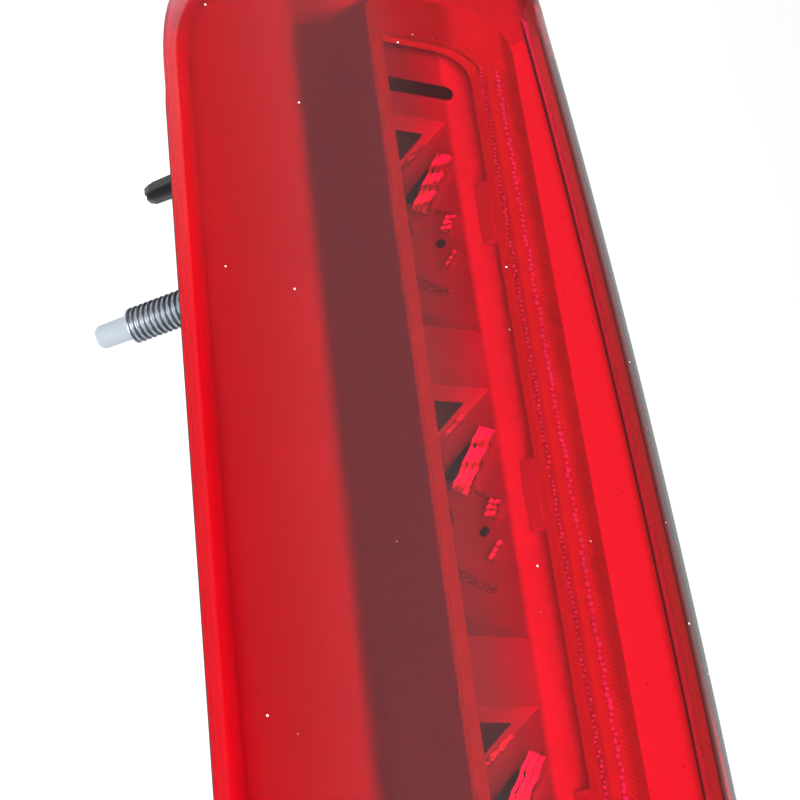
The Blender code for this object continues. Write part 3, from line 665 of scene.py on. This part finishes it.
def add_score(bm, x, w_low, w_high, lean, width):
    """Slanting ridge on the scored strip."""
    made = bmesh.ops.create_grid(bm, x_segments=1, y_segments=4, size=0.5)["verts"]
    for v in made:
        u, t = v.co.x, v.co.y + 0.5
        w = w_low + (w_high - w_low) * t
        bow = math.sin(t * math.pi) * 0.25 * MM
        v.co = point(x + lean * t + bow + u * width, w, under_z(w) - 0.12 * MM)
    faces = list({f for v in made for f in v.link_faces})
    bmesh.ops.solidify(bm, geom=faces, thickness=0.12 * MM)


def add_thread(bm, x):
    """Stud with a helical thread, a plain collar and a dog point."""
    s = sizes()
    centre = point(x, s.fixing_w, 0)
    sides = 40
    step = s.stud_pitch / 12
    first_turn = -0.6 * MM
    last_turn = s.stud_tip + 6.5 * MM
    count = int(round((first_turn - last_turn) / step))
    # height, radius and depth of thread for each ring, from the head down to the dog point
    head = [(8.1, 0.2), (8.1, 5.7), (7.8, 6.0), (6.9, 6.0)]
    rings = [(z * MM, r * MM, 0.0) for z, r in head] + [(6.8 * MM, s.stud_r, 0.0), (first_turn, s.stud_r, 0.0)]
    for i in range(1, count):
        rings.append((first_turn - i * step, s.stud_r, min(1.0, i / 10, (count - i) / 10)))
    rings += [(last_turn, s.stud_root, 0.0), (last_turn - 0.7 * MM, 2.05 * MM, 0.0)]
    dog_point = [(0.6, 2.0), (0.15, 1.75), (0.0, 1.3), (0.0, 0.3)]
    rings += [(s.stud_tip + z * MM, r * MM, 0.0) for z, r in dog_point]

    def ring(z, radius, depth):
        out = []
        for i in range(sides):
            a = 2 * math.pi * i / sides
            groove = 0.5 - 0.5 * math.cos(2 * math.pi * ((z / s.stud_pitch + i / sides) % 1.0))
            r = radius - (s.stud_r - s.stud_root) * depth * groove ** 0.8
            out.append(centre + Vector((r * math.cos(a), r * math.sin(a), z)))
        return out
    top = first = wire_loop(bm, ring(*rings[0]))
    for values in rings[1:]:
        top = draw_up(bm, top, ring(*values))
    close_loop(bm, top)
    close_loop(bm, first)


# ---- operators ----------------------------------------------------------------------------
class LAMP_OT_lens(Operator):
    """Red lens: flat sloping face, bevel and nose, thin skirt, hollow underneath"""
    bl_idname = "lamp.lens"
    bl_label = "Lens"

    def execute(self, context):
        s = sizes()
        outline = lens_outline()
        rows = lens_sections()
        bm = bmesh.new()
        rim = wire_loop(bm, inset_loop(outline, 0.0, s.rim_z))
        top = rim
        for thin, end, thick, _, _, _ in rows:
            top = draw_up(bm, top, lens_loop(outline, (thin, end, thick)), 0)
        close_loop(bm, top, 0)
        foot_inset = rows[0][3:]
        foot = []
        for x, w, nx, nw, zone in outline:
            inset = mix3(zone, *foot_inset)[0]
            foot.append(point(x + nx * inset, w + nw * inset, s.rim_z))
        top = draw_up(bm, rim, foot, 0)
        for _, _, _, thin, end, thick in rows:
            top = draw_up(bm, top, lens_loop(outline, (thin, end, thick)), 1)
        close_loop(bm, top, 1)
        face_out(bm, s.rim_z)
        finish_piece("lens_shell", bm, [lens_polished(), lens_inner()], "lamp", ("lens",),
                     smooth=14.0, recalc=False)
        return {"FINISHED"}


class LAMP_OT_housing(Operator):
    """Housing, inner wall and shelf take their moulded finishes, with painted light on the weld flange"""
    bl_idname = "lamp.housing"
    bl_label = "Housing"

    def execute(self, context):
        t = tones()
        bands = [(0.0, t.shell), (0.5, t.shell), (0.52, t.shelf), (0.62, t.shelf), (0.68, t.wall)]
        shell = zoned_plastic("abs_housing_grained", 3, 0.0, 12 * MM, bands, 0.5)
        # painted light: pale weld tone over the shaded rim along the high side and at the ends
        paint_light_on_flange(shell)
        soften(dress("housing", shell), 0.25 * MM)
        shelf = moulded_plastic("abs_pale_satin", t.shelf, 0.55, grain_mm=0.4, strength=0.05)
        soften(dress("inner_shelf", shelf), 0.15 * MM)
        return {"FINISHED"}


class LAMP_OT_reflector(Operator):
    """Metallised reflector and its snap tabs"""
    bl_idname = "lamp.reflector"
    bl_label = "Reflector"

    def execute(self, context):
        t = tones()
        mirror = plated_metal("aluminium_lacquer_satin", t.mirror, 0.4, streak_mm=2.0, strength=0.1,
                              metallic=0.15)
        # painted shade towards the reflector's low side, painted light at its high side
        paint_shade_across_reflector(mirror)
        soften(dress("reflector", mirror), 0.3 * MM)
        tab = moulded_plastic("abs_grey_gloss", t.tab, 0.3)
        for k in range(1, CELLS + 1):
            soften(dress("reflector_clip_%d" % k, tab), 0.2 * MM)
        s = sizes()
        # painted shade: the low side of the bead is coloured darker beside the dark inner wall
        bands = [(0.0, t.weld_shaded), (0.5, t.weld_shaded), (0.6, t.weld), (0.9, t.weld), (0.93, t.weld_dark)]
        weld = zoned_plastic("acrylic_weld", 2, s.y_thin + s.box_low, s.y_thin + s.box_high, bands, 0.3)
        dress("lens_weld_bead", weld)
        return {"FINISHED"}


class LAMP_OT_optics(Operator):
    """Facet ribs and drain slots on the reflector cups"""
    bl_idname = "lamp.optics"
    bl_label = "Cup optics"

    def execute(self, context):
        t = tones()
        s = sizes()
        bright = plated_metal("aluminium_facets", t.facet, 0.25, streak_mm=0.5, strength=0.2, metallic=0.7)
        ribs = bmesh.new()
        for c in cell_xs():
            for (ax, az), (bx, bz), width, teeth, relief in RIBS:
                add_rib(ribs, (c + ax * MM, az * MM), (c + bx * MM, bz * MM), width * MM, teeth, relief * MM)
        finish_piece("reflector_facets", ribs, [bright], "lamp", smooth=20.0)

        dark = moulded_plastic("abs_recess_dark", t.shell, 0.6)
        slots = bmesh.new()
        wall = s.cup_high - 0.25 * MM
        for c in cell_xs():
            for (ax, az), (bx, bz), radius in RECESSES:
                add_recess(slots, Vector((c + ax * MM, s.y_thin + wall, az * MM)),
                           Vector((c + bx * MM, s.y_thin + wall, bz * MM)), radius * MM, Vector((0, -1, 0)))
        for side in (-1, 1):
            slope = Vector((0, -math.sin(s.face_tilt), math.cos(s.face_tilt)))
            ends = [point(side * 131.0 * MM, w, flange_z(w)) for w in (33.0 * MM, 42.2 * MM)]
            add_recess(slots, ends[0], ends[1], 1.3 * MM, slope)
        finish_piece("reflector_slots", slots, [dark], "lamp", smooth=30.0)
        return {"FINISHED"}


class LAMP_OT_weld(Operator):
    """Rows of weld bubbles and the scored strip along the high side of the window"""
    bl_idname = "lamp.weld"
    bl_label = "Weld detail"

    def execute(self, context):
        t = tones()
        s = sizes()
        under = Vector((0, math.sin(s.face_tilt), -math.cos(s.face_tilt)))
        bubbles = bmesh.new()
        seed = 0
        for w, pitch, size in ((s.row_near, 0.8 * MM, 0.26 * MM), (s.row_far, 1.0 * MM, 0.42 * MM)):
            x = -s.row_half
            while x < s.row_half:
                seed += 1
                r = size * (0.75 + 0.5 * wave(seed))
                spot = point(x, w + (wave(seed + 0.5) - 0.5) * 0.35 * MM, 0)
                spot.z = under_z(spot.y - s.y_thin) - 0.05 * MM
                add_dome(bubbles, spot, r, under)
                x += pitch * (0.8 + 0.4 * wave(seed + 0.25))
        beads = moulded_plastic("acrylic_weld_beads", t.bubble, 0.2, strength=0.02)
        finish_piece("weld_bubbles", bubbles, [beads], "lamp", smooth=60.0)

        hatch = bmesh.new()
        x = -s.row_half
        while x < s.row_half:
            add_score(hatch, x, 46.9 * MM, 48.9 * MM, 1.5 * MM, 0.16 * MM)
            x += 0.8 * MM
        scored = moulded_plastic("acrylic_weld_scored", t.weld_dark, 0.35)
        finish_piece("weld_scores", hatch, [scored], "lamp", smooth=30.0)
        return {"FINISHED"}


class LAMP_OT_fixings(Operator):
    """Zinc-plated studs"""
    bl_idname = "lamp.fixings"
    bl_label = "Studs"

    def execute(self, context):
        zinc = plated_metal("steel_zinc_bright", tones().zinc, 0.36)
        for side, name in ((-1, "left"), (1, "right")):
            bm = bmesh.new()
            add_thread(bm, side * sizes().stud_x)
            finish_piece("stud_thread_" + name, bm, [zinc], "lamp", ("mounting_stud_" + name,),
                         smooth=40.0)
        return {"FINISHED"}


class LAMP_OT_bulbs(Operator):
    """Bulbs, their holders and seals"""
    bl_idname = "lamp.bulbs"
    bl_label = "Bulbs and holders"

    def execute(self, context):
        t = tones()
        glass, _, shader = new_material("soda_glass_clear", IOR=1.5, Transmission_Weight=1.0, Roughness=0.02)
        shader.inputs["Base Color"].default_value = (0.97, 0.98, 0.98, 1.0)
        wire = plated_metal("nickel_wire", t.wire, 0.35)
        nylon = moulded_plastic("nylon_glass_filled", t.holder, 0.5, grain_mm=0.5)
        rubber = moulded_plastic("rubber_moulded", t.rubber, 0.75)
        brass = plated_metal("brass_strip", t.brass, 0.3)
        for k in range(1, CELLS + 1):
            dress("bulb_glass_%d" % k, glass)
            dress("bulb_filament_%d" % k, wire)
            soften(dress("bulb_holder_%d" % k, nylon), 0.2 * MM)
            soften(dress("holder_seal_%d" % k, rubber), 0.2 * MM)
            dress("holder_contact_live_%d" % k, brass)
            dress("holder_contact_ground_%d" % k, brass)
        return {"FINISHED"}


class LAMP_OT_electrics(Operator):
    """Busbars, inlet, vent, gasket and rim seal"""
    bl_idname = "lamp.electrics"
    bl_label = "Electrics and seals"

    def execute(self, context):
        t = tones()
        brass = plated_metal("brass_rolled", t.brass, 0.3)
        shell = moulded_plastic("pbt_black", t.shell, 0.45)
        for node in ("busbar_live", "busbar_ground", "connector_pin_live", "connector_pin_ground"):
            dress(node, brass)
        soften(dress("connector_socket", shell), 0.25 * MM)
        soften(dress("vent_cap", shell), 0.2 * MM)
        foam = moulded_plastic("foam_closed_cell", t.foam, 0.95, grain_mm=0.5, strength=0.6)
        soften(dress("foam_gasket", foam), 0.3 * MM)
        dress("rim_seal", moulded_plastic("silicone_bead", t.shelf, 0.5))
        return {"FINISHED"}


def turned_to(direction):
    return direction.to_track_quat("-Z", "Y").to_euler()


def put(scene, name, data, place, turn):
    item = bpy.data.objects.new(name, data)
    item.location = place
    item.rotation_euler = turn
    scene.collection.objects.link(item)
    return item


class LAMP_OT_stage(Operator):
    """Pale floor, soft lights and camera"""
    bl_idname = "lamp.stage"
    bl_label = "Stage"

    def execute(self, context):
        scene = context.scene
        bm = bmesh.new()
        bmesh.ops.create_grid(bm, x_segments=1, y_segments=1, size=FLOOR_SIZE,
                              matrix=Matrix.Translation((0, 0, FLOOR_Z)))
        mesh = bpy.data.meshes.new("floor")
        bm.to_mesh(mesh)
        bm.free()
        mat, _, shader = new_material("paper_white", Roughness=0.9)
        shader.inputs["Base Color"].default_value = (0.9, 0.9, 0.9, 1.0)
        mesh.materials.append(mat)
        floor = bpy.data.objects.new("floor", mesh)
        scene.collection.objects.link(floor)

        world = bpy.data.worlds.new("studio")
        world.use_nodes = True
        tree = world.node_tree
        place = add_node(tree, "ShaderNodeTexCoord").outputs["Generated"]
        axes = add_node(tree, "ShaderNodeSeparateXYZ", links={"Vector": place})
        level = ramp(tree, axes.outputs["X"], [(0.0, grey(WORLD_DIM)), (1.0, grey(WORLD_BRIGHT))])
        tree.links.new(level, tree.nodes["Background"].inputs["Color"])
        scene.world = world

        key = bpy.data.lights.new("key", "AREA")
        key.shape = "SQUARE"
        key.size = KEY_SIZE
        key.energy = KEY_POWER
        put(scene, "key", key, KEY_PLACE, turned_to(-Vector(KEY_PLACE)))
        sun = bpy.data.lights.new("daylight", "SUN")
        sun.energy = SUN_POWER
        sun.angle = math.radians(SUN_SPREAD)
        put(scene, "daylight", sun, (0, 0, 0), turned_to(Vector(SUN_RAYS)))

        cam = bpy.data.cameras.new("camera")
        cam.sensor_width = CAMERA_SENSOR
        cam.lens = CAMERA_LENS
        cam.clip_start = 0.01
        cam.clip_end = 20.0
        scene.camera = put(scene, "camera", cam, CAMERA_PLACE, [math.radians(a) for a in CAMERA_TURN])
        scene.view_settings.view_transform = "Standard"
        return {"FINISHED"}


class LAMP_PT_panel(Panel):
    """Lists the lamp's sizes, colours and builders"""
    bl_idname = "LAMP_PT_panel"
    bl_label = "Third Brake Light"
    bl_space_type = "VIEW_3D"
    bl_region_type = "UI"
    bl_category = "Brake Light"

    def draw(self, context):
        for group in (context.scene.lamp_sizes, context.scene.lamp_colours):
            box = self.layout.box()
            for key in group.__annotations__:
                box.prop(group, key)
        for operator in OPERATORS:
            self.layout.operator(operator.bl_idname)


OPERATORS = (LAMP_OT_stage, LAMP_OT_lens, LAMP_OT_housing, LAMP_OT_reflector, LAMP_OT_optics, LAMP_OT_weld,
             LAMP_OT_fixings, LAMP_OT_bulbs, LAMP_OT_electrics)
CLASSES = (LampSizes, LampColours) + OPERATORS + (LAMP_PT_panel,)


def register():
    for item in CLASSES:
        bpy.utils.register_class(item)
    bpy.types.Scene.lamp_sizes = PointerProperty(type=LampSizes)
    bpy.types.Scene.lamp_colours = PointerProperty(type=LampColours)


def unregister():
    del bpy.types.Scene.lamp_colours
    del bpy.types.Scene.lamp_sizes
    for item in reversed(CLASSES):
        bpy.utils.unregister_class(item)


def main():
    register()
    for operator in OPERATORS:
        group, name = operator.bl_idname.split(".")
        getattr(getattr(bpy.ops, group), name)()


if __name__ == "__main__":
    main()
